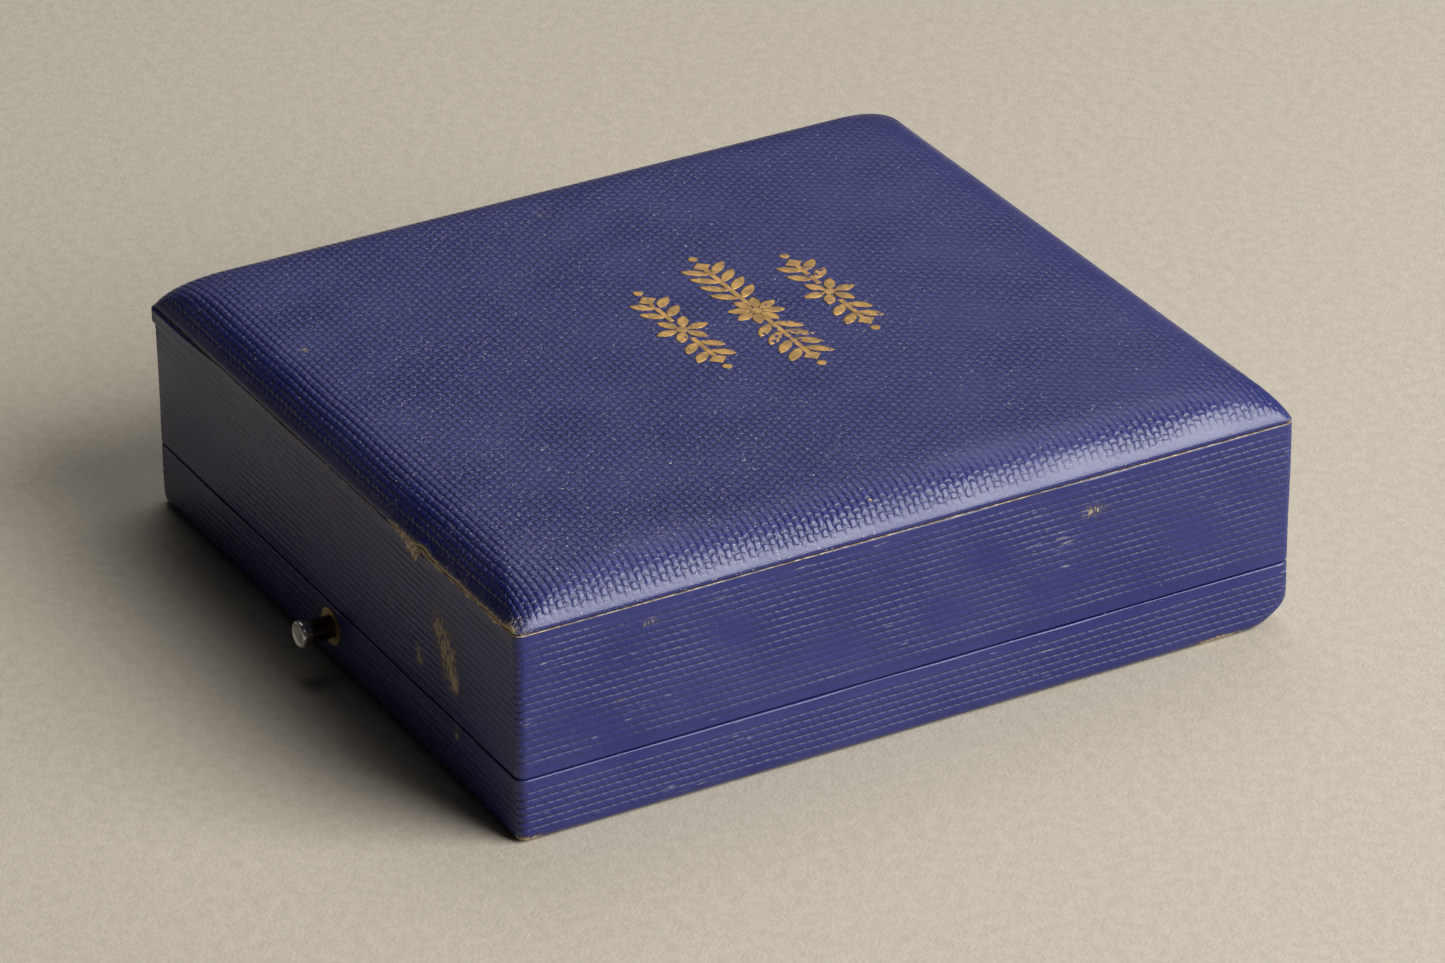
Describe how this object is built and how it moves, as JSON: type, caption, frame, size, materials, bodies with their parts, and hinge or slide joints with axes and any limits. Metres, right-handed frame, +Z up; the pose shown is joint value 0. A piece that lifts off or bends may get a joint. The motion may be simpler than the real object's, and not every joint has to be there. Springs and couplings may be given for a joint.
{
  "type": "hinged presentation case",
  "caption": "Shallow hinged case for a badge, with a crowned covered lid, a push-button catch and a velvet bed with an oval recess.",
  "frame": {"origin": "middle of the resting face under the case body, the button and hinge barrel left out", "axes": "+Z up from the resting face, -Y towards the push button, +Y towards the hinge, +X to the right seen from the button"},
  "size_m": [0.0804, 0.0924, 0.0271],
  "materials": {
    "wood": "plain sawn softwood",
    "leatherette": "ribbed, embossed, soft gloss",
    "underside_paper": "matt",
    "card": "matt",
    "velvet": "short pile",
    "satin": "silky sheen",
    "brass": "tarnished",
    "plated_brass": "worn nickel plate over brass",
    "steel": "dull",
    "spring_steel": "blued",
    "gilt": "worn stamped foil"
  },
  "bodies": {
    "base": {"base_bottom_board": "wood", "base_front_wall": "wood", "base_rear_wall": "wood", "base_left_wall": "wood", "base_right_wall": "wood", "base_side_covering": "leatherette", "base_underside_paper": "underside_paper", "insert_board": "card", "velvet_insert": "velvet", "base_hinge_leaf": "brass", "base_leaf_tacks": "brass", "hinge_pin": "steel", "button_bush": "brass", "latch_rim_plate": "brass", "rim_plate_tacks": "brass", "return_spring": "spring_steel"},
    "lid": {"lid_front_wall": "wood", "lid_rear_wall": "wood", "lid_left_wall": "wood", "lid_right_wall": "wood", "lid_crown_board": "wood", "lid_side_covering": "leatherette", "lid_top_covering": "leatherette", "lid_wall_lining": "satin", "lid_pad_card": "card", "lid_satin_pad": "satin", "lid_hinge_leaf": "brass", "lid_leaf_tacks": "brass", "striker_fork": "brass", "striker_tacks": "brass", "gilt_ornament": "gilt"},
    "plunger": {"push_button": "plated_brass", "catch_plate": "steel"}
  },
  "joints": [
    {"name": "lid_hinge", "type": "hinge", "parent": "base", "child": "lid", "pos_m": [0, 0.0437, 0.00715], "axis": [-1, 0, 0], "range_deg": [0, 100]},
    {"name": "button_push", "type": "slide", "parent": "base", "child": "plunger", "axis": [0, 1, 0], "range_m": [0, 0.0008], "stiffness_N_per_m": 300, "springref_m": -0.002, "deforming": ["return_spring"]}
  ]
}
